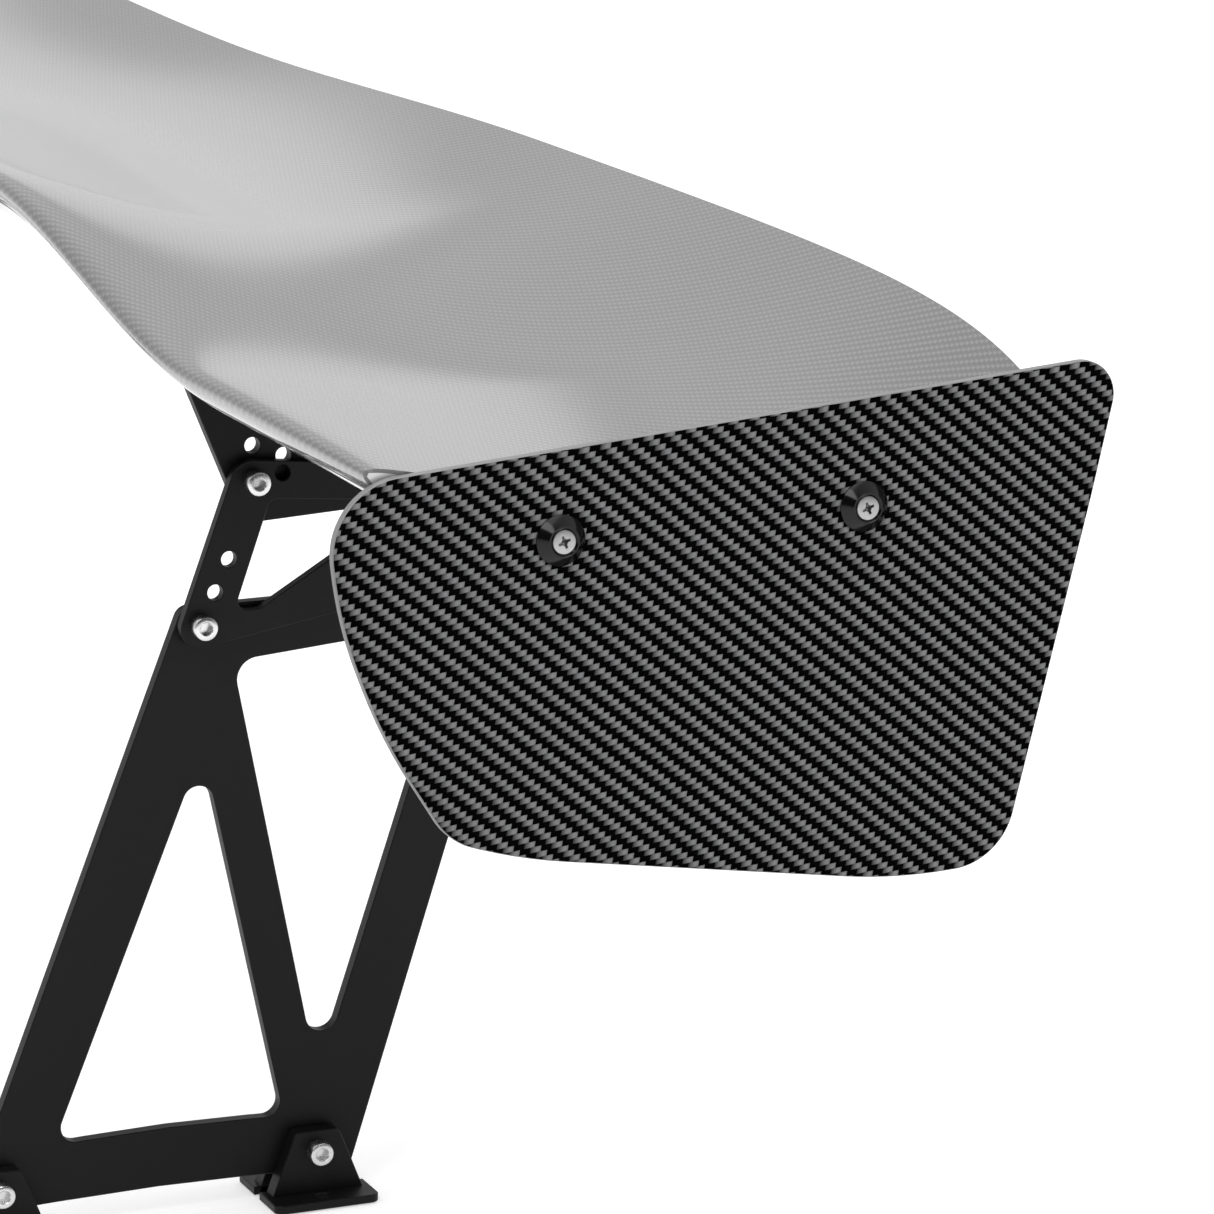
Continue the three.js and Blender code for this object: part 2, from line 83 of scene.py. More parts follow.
# Brightness of the cove at heights above the horizon, and how much of it is left on the camera's side.
COVE_LEVELS = ((-6, 0.65), (3, 0.85), (9, 1.0), (13, 1.05), (18, 0.68), (23, 0.85), (30, 1.0), (60, 1.05))
CAMERA_SIDE = 0.05
COVE_FACING = (248, 25)         # azimuth and elevation of its brightest part, in degrees
COVE_FADE = (0.2, 0.72)         # it fades in between these, where 0 is dead opposite and 1 is that part


def direction(azimuth, elevation):
    return Vector((math.sin(azimuth) * math.cos(elevation), -math.cos(azimuth) * math.cos(elevation),
                   math.sin(elevation)))


def make_camera():
    data = bpy.data.cameras.new("camera")
    data.lens = LENS
    data.clip_end = 100
    camera = bpy.data.objects.new("camera", data)
    bpy.context.scene.collection.objects.link(camera)
    back = direction(CAMERA_AZIMUTH, CAMERA_ELEVATION)
    camera.location = AIM + back * CAMERA_DISTANCE
    camera.rotation_mode = "QUATERNION"
    level = (-back).to_track_quat("-Z", "Y")
    camera.rotation_quaternion = level @ Matrix.Rotation(CAMERA_ROLL, 3, "Z").to_quaternion()
    bpy.context.scene.camera = camera


def area_light(name, azimuth, elevation, distance, size, power):
    data = bpy.data.lights.new(name, "AREA")
    data.shape = "RECTANGLE"
    data.size, data.size_y = size
    data.energy = power
    light = bpy.data.objects.new(name, data)
    bpy.context.scene.collection.objects.link(light)
    back = direction(math.radians(azimuth), math.radians(elevation))
    light.location = LIGHT_AIM + back * distance
    light.rotation_euler = (-back).to_track_quat("-Z", "Y").to_euler()


def make_world():
    """A white cove: bright behind and above the wing, dim on the camera's side. The camera sees it white."""
    world = bpy.data.worlds.new("studio")
    bpy.context.scene.world = world
    world.use_nodes = True
    tree = world.node_tree
    tree.nodes.clear()

    def node(kind, **settings):
        made = tree.nodes.new(kind)
        for key, value in settings.items():
            setattr(made, key, value)
        return made

    def ramp(value, stops):
        made = node("ShaderNodeValToRGB")
        made.color_ramp.interpolation = "EASE"
        for i, (place, level) in enumerate(stops):
            stop = made.color_ramp.elements[i] if i < 2 else made.color_ramp.elements.new(place)
            stop.position = place
            stop.color = (level, level, level, 1)
        tree.links.new(value, made.inputs[0])
        return made.outputs[0]

    def half_range(value):
        made = node("ShaderNodeMath", operation="MULTIPLY_ADD")
        made.inputs[1].default_value = 0.5
        made.inputs[2].default_value = 0.5
        tree.links.new(value, made.inputs[0])
        return made.outputs[0]

    def facing(azimuth, elevation):
        made = node("ShaderNodeVectorMath", operation="DOT_PRODUCT")
        made.inputs[1].default_value = direction(math.radians(azimuth), math.radians(elevation))
        tree.links.new(coords.outputs["Generated"], made.inputs[0])
        return half_range(made.outputs["Value"])

    def at_elevation(degrees):
        return 0.5 + 0.5 * math.sin(math.radians(degrees))

    coords = node("ShaderNodeTexCoord")
    behind = ramp(facing(*COVE_FACING), tuple(zip(COVE_FADE, (CAMERA_SIDE, 1.0))))
    height = ramp(facing(0, 90), [(at_elevation(e), level) for e, level in COVE_LEVELS])
    product = node("ShaderNodeMix", data_type="RGBA", blend_type="MULTIPLY")
    product.inputs["Factor"].default_value = 1.0
    tree.links.new(behind, product.inputs[6])
    tree.links.new(height, product.inputs[7])
    lit = node("ShaderNodeBackground")
    seen = node("ShaderNodeBackground")
    mix = node("ShaderNodeMixShader")
    path = node("ShaderNodeLightPath")
    out = node("ShaderNodeOutputWorld")
    seen.inputs[0].default_value = (1, 1, 1, 1)
    tree.links.new(product.outputs[2], lit.inputs[0])
    tree.links.new(path.outputs["Is Camera Ray"], mix.inputs[0])
    tree.links.new(lit.outputs[0], mix.inputs[1])
    tree.links.new(seen.outputs[0], mix.inputs[2])
    tree.links.new(mix.outputs[0], out.inputs[0])


make_camera()
make_world()
area_light("key", 100, 38, 2.6, (1.4, 1.4), 34)
area_light("overhead", 20, 82, 2.8, (2.4, 2.4), 40)
area_light("side", 42, 42, 2.4, (0.9, 0.9), 14)
bpy.context.scene.view_settings.view_transform = "Standard"


# ---------------------------------------------------------------- materials
class Nodes:
    """A short way to write shader maths for one material."""

    def __init__(self, name):
        self.material = bpy.data.materials.new(name)
        self.material.use_nodes = True
        self.tree = self.material.node_tree
        self.shader = self.tree.nodes["Principled BSDF"]

    def node(self, kind, **settings):
        made = self.tree.nodes.new(kind)
        for key, value in settings.items():
            setattr(made, key, value)
        return made

    def plug(self, value, socket):
        if isinstance(value, bpy.types.NodeSocket):
            self.tree.links.new(value, socket)
        else:
            socket.default_value = value

    def math(self, operation, *values):
        made = self.node("ShaderNodeMath", operation=operation)
        for value, socket in zip(values, made.inputs):
            self.plug(value, socket)
        return made.outputs[0]

    def mix(self, factor, a, b):
        made = self.node("ShaderNodeMix", data_type="RGBA")
        self.plug(factor, made.inputs["Factor"])
        self.plug(a, made.inputs[6])
        self.plug(b, made.inputs[7])
        return made.outputs[2]

    def noise(self, vector, scale, detail=2):
        made = self.node("ShaderNodeTexNoise")
        self.tree.links.new(vector, made.inputs["Vector"])
        made.inputs["Scale"].default_value = scale
        made.inputs["Detail"].default_value = detail
        return made.outputs["Fac"]

    def scaled(self, vector, factors):
        made = self.node("ShaderNodeVectorMath", operation="MULTIPLY")
        self.tree.links.new(vector, made.inputs[0])
        made.inputs[1].default_value = factors
        return made.outputs[0]

    def bump(self, height, strength, distance):
        made = self.node("ShaderNodeBump")
        made.inputs["Strength"].default_value = strength
        made.inputs["Distance"].default_value = distance
        self.tree.links.new(height, made.inputs["Height"])
        self.tree.links.new(made.outputs[0], self.shader.inputs["Normal"])

    def coords(self, output="Object"):
        return self.node("ShaderNodeTexCoord").outputs[output]

    def set(self, **values):
        for name, value in values.items():
            self.plug(value, self.shader.inputs[name.replace("_", " ")])
        return self.material


def grey(level, blue=0.0):
    return (level, level, level * (1 + blue), 1)


def carbon(name, tow, lean, gap_shade, warp_sheen, weft_sheen, roughness, coat, coat_roughness, specular):
    """2x2 twill: two tows over, two under, each row stepped by one tow to the side that lean (+1, -1) says.

    UV is in metres along the tows. gap_shade, warp_sheen and weft_sheen are the greys between the tows and of
    each set of tows: the first is painted shade, the other two a painted sheen, one set of tows brighter as
    if it caught more light.
    """
    n = Nodes(name)
    uv = n.coords("UV")
    tows = n.scaled(uv, (1 / (tow * MM), lean / (tow * MM), 1))
    split = n.node("ShaderNodeSeparateXYZ")
    n.tree.links.new(tows, split.inputs[0])

    # Tow numbers and the place within a tow, the ends of the floats leaning by SLANT.
    v = split.outputs[1]
    slant = n.math("MULTIPLY", n.math("SUBTRACT", n.math("FRACT", v), 0.5), SLANT)
    u = n.math("SUBTRACT", split.outputs[0], slant)
    iu, iv = n.math("FLOOR", u), n.math("FLOOR", v)
    fu, fv = n.math("FRACT", u), n.math("FRACT", v)

    # Which set of tows is on top, and how far along and across its float this point is, from 0 to 1.
    step = n.math("FLOORED_MODULO", n.math("ADD", iu, iv), 4.0)
    over = n.math("LESS_THAN", step, 1.5)
    under = n.math("SUBTRACT", 1.0, over)
    along = n.math("ADD", n.math("MULTIPLY", over, n.math("ADD", step, fu)),
                   n.math("MULTIPLY", under, n.math("ADD", n.math("SUBTRACT", step, 2.0), fv)))
    along = n.math("MULTIPLY", along, 0.5)
    across = n.math("ADD", n.math("MULTIPLY", over, fv), n.math("MULTIPLY", under, fu))

    # The float's height makes its bump. Through the colour below, it also paints shade where the float dips
    # at its ends and sides.
    dome = n.math("SINE", n.math("MULTIPLY", along, math.pi))
    crown = n.math("SINE", n.math("MULTIPLY", across, math.pi))
    height = n.math("MULTIPLY", n.math("POWER", dome, FLOAT_END), n.math("POWER", crown, FLOAT_SIDE))

    # A painted sheen that brightens each float from its dark end, its fibres, and slow patches over the whole
    # cloth.
    glint = n.math("MINIMUM", n.math("MULTIPLY", along, 1.5), 1.0)
    glint = n.math("ADD", FLOAT_SHEEN_LOW, n.math("MULTIPLY", glint, 1 - FLOAT_SHEEN_LOW))
    fibres = n.noise(n.scaled(uv, (*FIBRES, 1)), 1.0, 1)
    fibres_under = n.noise(n.scaled(uv, (*reversed(FIBRES), 1)), 1.0, 1)
    streak = n.math("ADD", n.math("MULTIPLY", over, fibres), n.math("MULTIPLY", under, fibres_under))
    patches = n.noise(uv, 60, 2)
    # Painted shade and sheen, together with the cloth's own fibres and patches: this factor darkens the
    # floats where they fall away and at their dark ends.
    sheen_and_fibres = n.math("MULTIPLY", height, n.math("ADD", 0.55, n.math("MULTIPLY", streak, 0.6)))
    sheen_and_fibres = n.math("MULTIPLY", sheen_and_fibres, glint)
    sheen_and_fibres = n.math("MULTIPLY", sheen_and_fibres, n.math("ADD", 0.85, n.math("MULTIPLY", patches, 0.3)))
    # The colour is painted light on black fibre: painted shade between the tows, and a painted sheen that
    # makes one set of tows brighter than the other.
    colour = n.mix(sheen_and_fibres, grey(gap_shade), n.mix(over, grey(weft_sheen, 0.02), grey(warp_sheen, 0.02)))
    n.bump(height, TOW_BUMP, TOW_RELIEF)
    return n.set(Base_Color=colour, Roughness=roughness, Coat_Weight=coat, Coat_Roughness=coat_roughness,
                 Specular_IOR_Level=specular)


def cut_laminate():
    """The sawn edge of the end plate: grey, with the plies showing as fine lines."""
    n = Nodes("cut_laminate")
    plies = n.noise(n.scaled(n.coords(), (2600, 60, 60)), 1.0, 2)
    colour = n.mix(plies, grey(0.08), grey(0.24))
    n.bump(plies, 0.3, 0.0001)
    return n.set(Base_Color=colour, Roughness=0.5)


def anodised(name, level, low, high):
    """Matt black anodising: a fine grain, with slow clouds in its tone and between two roughnesses."""
    n = Nodes(name)
    grain = n.noise(n.coords(), 2200, 2)
    cloud = n.noise(n.coords(), 18, 3)
    rough = n.math("ADD", low, n.math("MULTIPLY", cloud, high - low))
    colour = n.mix(cloud, grey(level * 0.8), grey(level * 1.25, 0.03))
    n.bump(grain, 0.12, 0.00005)
    return n.set(Base_Color=colour, Roughness=rough, Specular_IOR_Level=0.16)


def turned_metal(name, level, roughness):
    """Bare metal with the marks of turning around the X axis."""
    n = Nodes(name)
    where = n.coords()
    grain = n.noise(n.scaled(where, (900, 5200, 5200)), 1.0, 2)
    rough = n.math("ADD", roughness - 0.06, n.math("MULTIPLY", grain, 0.16))
    colour = n.mix(n.noise(where, 500, 2), grey(level * 0.9), grey(level * 1.05))
    n.bump(grain, 0.1, 0.00004)
    return n.set(Base_Color=colour, Roughness=rough, Metallic=1.0)


def gloss_black():
    """The cup washers' polished black, with a light haze."""
    n = Nodes("gloss_black")
    haze = n.noise(n.coords(), 900, 2)
    rough = n.math("ADD", 0.08, n.math("MULTIPLY", haze, 0.1))
    return n.set(Base_Color=grey(0.002), Roughness=rough, Specular_IOR_Level=0.24)


def pale_floor():
    n = Nodes("pale_floor")
    cloud = n.noise(n.coords(), 3, 2)
    return n.set(Base_Color=n.mix(cloud, grey(0.68), grey(0.72)), Roughness=0.9,
                 Emission_Color=grey(1.0), Emission_Strength=0.5)


SKIN = carbon("carbon_skin", SKIN_TOW, lean=-1, gap_shade=0.07, warp_sheen=0.15, weft_sheen=0.075, roughness=0.4, coat=1.0,
              coat_roughness=0.1, specular=0.3)
SHEET = carbon("carbon_sheet", PLATE_TOW, lean=1, gap_shade=0.0, warp_sheen=0.19, weft_sheen=0.001, roughness=0.6, coat=0.0,
               coat_roughness=0.25, specular=0.01)
EDGE = cut_laminate()
BLACK = anodised("black_anodised", level=0.005, low=0.38, high=0.52)
BARE = turned_metal("machined_alloy", 0.6, 0.35)
STEEL = turned_metal("stainless", 0.62, 0.24)
SCREW_STEEL = turned_metal("brushed_stainless", 0.36, 0.34)
CUP = gloss_black()


# ---------------------------------------------------------------- mesh helpers
SHARP = 32                      # edges that turn by more than this, in degrees, stay sharp
WELD = 1e-6                     # points of a sheet nearer than this, in metres, are one


def link(name, mesh, material, slot, body, *nodes):
    """Puts a mesh in the scene as a named piece that stands for the given CAD nodes."""
    piece = bpy.data.objects.new(name, mesh)
    bpy.context.scene.collection.objects.link(piece)
    if not mesh.materials:
        mesh.materials.append(material)
    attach(piece, body)
    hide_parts(*nodes)
    return piece


def from_bmesh(bm, name, sharp=SHARP):
    mesh = bpy.data.meshes.new(name)
    bmesh.ops.recalc_face_normals(bm, faces=bm.faces)
    bm.to_mesh(mesh)
    bm.free()
    mesh.shade_smooth()
    mesh.set_sharp_from_angle(angle=math.radians(sharp))
    return mesh


def moved(mesh, matrix):
    """A copy of a mesh, put in place by a matrix. A mirror turns its faces back to point out."""
    copy = mesh.copy()
    copy.transform(matrix)
    if matrix.determinant() < 0:
        copy.flip_normals()
    return copy


def at(side, x, y, z):
    """Place for a piece made pointing along +X: mirrored on the right-hand side."""
    return Matrix.Translation(Vector((side * x, y, z)) * MM) @ Matrix.Diagonal((side, 1, 1, 1))


def outline(corners, step=6):
    """A closed loop of (y, z) from corners (y, z, radius), each radius laid in as an arc."""
    loop = []
    for i, (y, z, radius) in enumerate(corners):
        corner = Vector((y, z))
        back = (Vector(corners[i - 1][:2]) - corner).normalized()
        ahead = (Vector(corners[(i + 1) % len(corners)][:2]) - corner).normalized()
        half = math.acos(max(-1, min(1, back.dot(ahead)))) / 2
        if not radius or half > math.radians(89.5):
            loop.append(corner)
            continue
        centre = corner + (back + ahead).normalized() * (radius / math.sin(half))
        start = corner + back * (radius / math.tan(half)) - centre
        turn = -math.copysign(math.pi - 2 * half, back.x * ahead.y - back.y * ahead.x)
        steps = max(2, math.ceil(abs(turn) / math.radians(step)))
        for k in range(steps + 1):
            loop.append(Matrix.Rotation(turn * k / steps, 2) @ start + centre)
    return loop


def circle(y, z, diameter, count=48):
    return [Vector((y + diameter / 2 * math.cos(math.tau * i / count),
                    z + diameter / 2 * math.sin(math.tau * i / count))) for i in range(count)]


# Takes a sheet drawn in XY, thickness along Z, to the YZ plane with its thickness along X.
FLAT_TO_SIDE = Matrix(((0, 0, 1, 0), (1, 0, 0, 0), (0, 1, 0, 0), (0, 0, 0, 1)))


def sheet(loops, thickness, chamfer, inset=0.0):
    """A flat plate with holes, its edges broken by a small chamfer, centred on X = 0.

    inset draws every edge of the plate back by that much.
    """
    data = bpy.data.curves.new("sheet", "CURVE")
    data.dimensions = "2D"
    data.fill_mode = "BOTH"
    data.extrude = (thickness / 2 - chamfer) * MM
    data.bevel_depth = chamfer * MM
    data.bevel_resolution = 0
    data.offset = -(chamfer + inset) * MM
    for loop in loops:
        spline = data.splines.new("POLY")
        spline.points.add(len(loop) - 1)
        for point, place in zip(spline.points, loop):
            point.co = (place.x * MM, place.y * MM, 0, 1)
        spline.use_cyclic_u = True
    holder = bpy.data.objects.new("sheet", data)
    bpy.context.scene.collection.objects.link(holder)
    graph = bpy.context.evaluated_depsgraph_get()
    mesh = bpy.data.meshes.new_from_object(holder.evaluated_get(graph))
    bpy.data.objects.remove(holder)
    mesh.transform(FLAT_TO_SIDE)
    bm = bmesh.new()
    bm.from_mesh(mesh)
    bmesh.ops.remove_doubles(bm, verts=bm.verts, dist=WELD)
    sheet_mesh = from_bmesh(bm, "sheet")
    while sheet_mesh.uv_layers:
        sheet_mesh.uv_layers.remove(sheet_mesh.uv_layers[0])
    return sheet_mesh


def turned(profile, count=48):
    """A solid turned about the X axis from (x, radius) points; a closed ring where none is on the axis."""
    bm = bmesh.new()
    rings = []
    for x, radius in profile:
        if radius == 0:
            rings.append([bm.verts.new((x * MM, 0, 0))])
        else:
            rings.append([bm.verts.new((x * MM, radius * MM * math.cos(math.tau * i / count),
                                        radius * MM * math.sin(math.tau * i / count)))
                          for i in range(count)])
    closed = profile[0][1] != 0
    pairs = list(zip(rings, rings[1:])) + ([(rings[-1], rings[0])] if closed else [])
    for a, b in pairs:
        for i in range(count):
            j = (i + 1) % count
            loop = [a[i % len(a)], a[j % len(a)], b[j % len(b)], b[i % len(b)]]
            bm.faces.new(list(dict.fromkeys(loop)))
    return bm


def cut(mesh, tool):
    """mesh less tool, both closed."""
    pair = [bpy.data.objects.new("cut", m) for m in (mesh, tool)]
    for piece in pair:
        bpy.context.scene.collection.objects.link(piece)
    modifier = pair[0].modifiers.new("cut", "BOOLEAN")
    modifier.operation = "DIFFERENCE"
    modifier.solver = "EXACT"
    modifier.object = pair[1]
    graph = bpy.context.evaluated_depsgraph_get()
    result = bpy.data.meshes.new_from_object(pair[0].evaluated_get(graph))
    for piece in pair:
        bpy.data.objects.remove(piece)
    result.shade_smooth()
    result.set_sharp_from_angle(angle=math.radians(SHARP))
    return result


def prism(sides, radius, x0, x1, end_radius=None, turn=0.0):
    """A bar along X with the given number of sides."""
    bm = bmesh.new()
    rings = []
    for x, r in ((x0, radius), (x1, end_radius or radius)):
        rings.append([bm.verts.new((x * MM, r * MM * math.cos(math.tau * i / sides + turn),
                                    r * MM * math.sin(math.tau * i / sides + turn))) for i in range(sides)])
    for i in range(sides):
        j = (i + 1) % sides
        bm.faces.new((rings[0][i], rings[0][j], rings[1][j], rings[1][i]))
    bm.faces.new(rings[0])
    bm.faces.new(rings[1])
    return from_bmesh(bm, "prism")


# ---------------------------------------------------------------- main element
SECTION_THICK = 29              # greatest thickness of the section
NOSE_FINE = 0.27                # how much slimmer the nose is than a plain aerofoil's
TIP_FINE = 0.25                 # and how much more it slims down at a tip
CAMBER = 0.14                   # depth of the mean line below the chord, per unit of chord
SKIN_WALL = 1.4
WALL_TAPER = 0.6                # how much thinner the wall is at the trailing edge, as a fraction
TAIL_HALF = 0.12                # half the least thickness of the section
LEADING = (-117.6, 382)         # leading edge at the tip, as (y, z)
TRAILING = (150, 409.4)         # trailing edge away from the tip
CENTRE_RISE = 38.7              # climb of the leading edge from the tip to the centre span
RISE_FROM = 169                 # distances in from the tip where the climb starts and ends
RISE_TO = 427
TIP_FADE = 75                   # length over which the trailing edge droops and draws in towards the tip
TIP_DROOP = 24
TIP_SWEEP = 10
NOSE_SWEEP = 3.5                # the leading edge draws back and dips by these at a tip
NOSE_DROOP = 3
CENTRE_DIP = 6.5                # dip of the trailing edge at the middle of the span
DIP_FROM = 480
SKIN_END = HALF_SPAN - PLATE_THICK - FIT
SEAM = 0.035                    # the skins part just under the nose, per unit of chord
SEAM_GAP = 0.0006
INNER_NOSE = 0.006              # the inner surface starts here, per unit of chord
SPAN_STEP = 9.0                 # mesh of the skins, along the span and around the section
CHORD_STEPS = 64
RIB_THICK = 12                  # tip rib, its extent per unit of chord, and its gap to the skins
RIB_FROM = 0.004
RIB_TO = 0.9
RIB_GAP = 0.1


def smooth(x, low, high):
    t = max(0.0, min(1.0, (x - low) / (high - low)))
    return t * t * (3 - 2 * t)


def tip_fade(x):
    return math.exp((abs(x) - HALF_SPAN) / TIP_FADE)


def edges(x):
    """Leading and trailing edge at a place along the span, as (y, z)."""
    tip = HALF_SPAN - abs(x)
    fade = tip_fade(x)
    rise = CENTRE_RISE * smooth(tip, RISE_FROM, RISE_TO)
    dip = CENTRE_DIP * smooth(tip, DIP_FROM, HALF_SPAN)
    nose = Vector((LEADING[0] + NOSE_SWEEP * fade, LEADING[1] + rise - NOSE_DROOP * fade))
    tail = Vector((TRAILING[0] - TIP_SWEEP * fade, TRAILING[1] - TIP_DROOP * fade - dip))
    return nose, tail


def fullness(x, s):
    """Thickness of the section at fraction s of the chord, where 1 is the greatest."""
    plain = 4 * math.sqrt(s) - 4.2698 * s + 1.2704 * s * s - 0.9406 * s ** 3
    return plain * (1 - (NOSE_FINE + TIP_FINE * tip_fade(x)) * (1 - s) ** 6)


def section_point(x, s, side, inset=0.0):
    """A point of the section at fraction s of the chord: side +1 above the mean line, -1 below it."""
    nose, tail = edges(x)
    chord = tail - nose
    up = Vector((-chord.y, chord.x)).normalized()
    depth = 4 * CAMBER * chord.length
    mean = nose + chord * s - up * depth * s * (1 - s)
    along = (chord - up * depth * (1 - 2 * s)).normalized()
    height = side * max(SECTION_THICK / 2 * fullness(x, s) - inset, TAIL_HALF)
    return Vector((x, mean.x - along.y * height, mean.y + along.x * height))


def wall(s):
    return SKIN_WALL * (1 - WALL_TAPER * s)


def chord_fractions():
    """Stations from the leading edge to the trailing edge, closest together at both."""
    return [(1 - math.cos(math.pi * i / CHORD_STEPS)) / 2 for i in range(CHORD_STEPS + 1)]


def skin_path(side):
    """Chord stations of one skin, as (fraction, side), from the nose seam to the trailing edge."""
    fractions = chord_fractions()
    if side < 0:
        return [(s, -1) for s in fractions if s > SEAM + SEAM_GAP]
    wrap = [(s, -1) for s in reversed(fractions) if 0 < s < SEAM]
    return wrap + [(s, 1) for s in fractions]


def skin_mesh(side):
    """One skin with its wall. UV runs along the span and, from the nose, along the middle section."""
    path = skin_path(side)
    count = int(2 * SKIN_END / SPAN_STEP)
    spans = [-SKIN_END + 2 * SKIN_END * i / count for i in range(count + 1)]
    bm = bmesh.new()
    layer = bm.loops.layers.uv.new("UVMap")
    outer, inner = [], []
    for x in spans:
        row = [section_point(x, s, k) for s, k in path]
        under = [section_point(x, max(s, INNER_NOSE), k, wall(s)) for s, k in path]
        outer.append([bm.verts.new(p * MM) for p in row])
        inner.append([bm.verts.new(p * MM) for p in under])
    middle = [section_point(0, s, k) for s, k in path]
    nose = min(range(len(path)), key=lambda i: path[i][0])
    lengths = [0.0]
    for a, b in zip(middle, middle[1:]):
        lengths.append(lengths[-1] + (b - a).length)
    run = [(length - lengths[nose]) * (1 if side > 0 else -1) * MM for length in lengths]

    def face(verts, coords):
        made = bm.faces.new(verts)
        for loop, uv in zip(made.loops, coords):
            loop[layer].uv = uv

    last = len(path) - 1
    for grid in (outer, inner):
        for a in range(count):
            for b in range(last):
                square = ((a, b), (a + 1, b), (a + 1, b + 1), (a, b + 1))
                face([grid[i][j] for i, j in square], [(spans[i] * MM, run[j]) for i, j in square])
    for a in range(count):
        for b in (0, last):
            face((outer[a][b], outer[a + 1][b], inner[a + 1][b], inner[a][b]),
                 [(spans[a] * MM, run[b]), (spans[a + 1] * MM, run[b])] * 2)
    for a in (0, count):
        for b in range(last):
            face((outer[a][b], outer[a][b + 1], inner[a][b + 1], inner[a][b]), [(0, run[b])] * 4)
    return from_bmesh(bm, "skin", 50)


def tip_rib_mesh():
    """The solid rib that closes the wing's end, filling the section inside the skins."""
    inside = [s for s in chord_fractions() if RIB_FROM < s < RIB_TO]
    ring = [(s, -1) for s in reversed(inside)] + [(s, 1) for s in inside]
    bm = bmesh.new()
    faces = []
    for x in (SKIN_END - RIB_THICK, SKIN_END):
        points = [section_point(x, s, k, wall(s) + RIB_GAP) for s, k in ring]
        faces.append([bm.verts.new(p * MM) for p in points])
    for i in range(len(ring)):
        j = (i + 1) % len(ring)
        bm.faces.new((faces[0][i], faces[0][j], faces[1][j], faces[1][i]))
    bm.faces.new(faces[0])
    bm.faces.new(faces[1])
    return from_bmesh(bm, "tip_rib", 40)


tip_rib = tip_rib_mesh()
for name, side in SIDES:
    link(f"tip_cap_{name}", moved(tip_rib, Matrix.Diagonal((side, 1, 1, 1))), BARE, "bare_alloy", "wing",
         f"tip_rib_{name}")
link("upper_skin", skin_mesh(1), SKIN, "carbon_skin", "wing", "airfoil_upper_skin")
link("lower_skin", skin_mesh(-1), SKIN, "carbon_skin", "wing", "airfoil_lower_skin")


# ---------------------------------------------------------------- end plates and their screws
PLATE_CORNERS = ((-97, 59.6, 26), (-96.8, 12, 150), (-85.5, -31, 200), (-66, -71, 25), (-40, -82.8, 200),
                 (100, -120.4, 200), (141.8, -122.6, 25), (188.3, 4, 300), (205.2, 53, 13))
PLATE_ORIGIN = Vector((-27, 326))
PLATE_INSET = 0.08
RIM = 0.3                       # chamfer of an end plate
SCREW_HOLE = 5.6
RECESS_TURN = 22                # the screws' cross stands at this angle, in degrees


def end_plate_mesh():
    """The end plate, twill on its faces and cut laminate round its edges. UV runs along the plate."""
    turn = Matrix.Rotation(PITCH, 2)
    loop = [turn @ p + PLATE_ORIGIN for p in outline(PLATE_CORNERS, 2)]
    mesh = sheet([loop] + [circle(y, z, SCREW_HOLE) for y, z in SCREWS.values()], PLATE_THICK, RIM,
                 PLATE_INSET)
    mesh.materials.append(SHEET)
    mesh.materials.append(EDGE)
    layer = mesh.uv_layers.new(name="UVMap")
    cos, sin = math.cos(PITCH), math.sin(PITCH)
    for polygon in mesh.polygons:
        polygon.material_index = 0 if abs(polygon.normal.x) > 0.9 else 1
        for i in polygon.loop_indices:
            place = mesh.vertices[mesh.loops[i].vertex_index].co
            layer.data[i].uv = (place.y * cos + place.z * sin, place.z * cos - place.y * sin)
    return mesh


def cup_washer_mesh():
    """A black ring with a sloping face, standing just clear of the plate."""
    profile = [(0.3, 2.8), (0.3, 8.8), (0.45, 9.0), (1.0, 9.0), (1.35, 8.7), (3.9, 5.95), (4.2, 5.6),
               (4.2, 5.1), (4.05, 4.9), (1.95, 2.8)]
    return from_bmesh(turned(profile, 72), "cup_washer", 24)


def screw_mesh():
    """Countersunk head with a cross recess, tapering in as a Phillips driver does."""
    profile = [(-16, 0), (-16, 2.1), (-15.4, 2.5), (1.7, 2.5), (3.4, 4.15), (3.7, 4.3), (4.05, 4.1),
               (4.2, 3.5), (4.2, 0)]
    mesh = from_bmesh(turned(profile, 64), "screw")
    for quarter in (0, 1):
        # A square bar spread into one blade of the cross.
        blade = prism(4, 0.62, 1.9, 4.7, 0.75, math.pi / 4)
        blade.transform(Matrix.Diagonal((1, 4.4, 0.95, 1)))
        blade.transform(Matrix.Rotation(math.radians(RECESS_TURN + 90 * quarter), 4, "X"))
        mesh = cut(mesh, blade)
    return cut(mesh, prism(16, 0.5, 1.1, 4.7, 1.35))


plate_mesh = end_plate_mesh()
washer_mesh = cup_washer_mesh()
cross_screw = screw_mesh()
for name, side in SIDES:
    link(f"end_plate_{name}_twill", moved(plate_mesh, at(side, HALF_SPAN - PLATE_THICK / 2, 0, 0)), SHEET,
         "carbon_plate", "wing", f"end_plate_{name}")
    for end, (y, z) in SCREWS.items():
        place = at(side, HALF_SPAN, y, z)
        link(f"cup_{end}_{name}", moved(washer_mesh, place), CUP, "black_washer", "wing",
             f"cup_washer_{end}_{name}")
        link(f"cross_screw_{end}_{name}", moved(cross_screw, place), SCREW_STEEL, "steel", "wing",
             f"end_plate_screw_{end}_{name}")


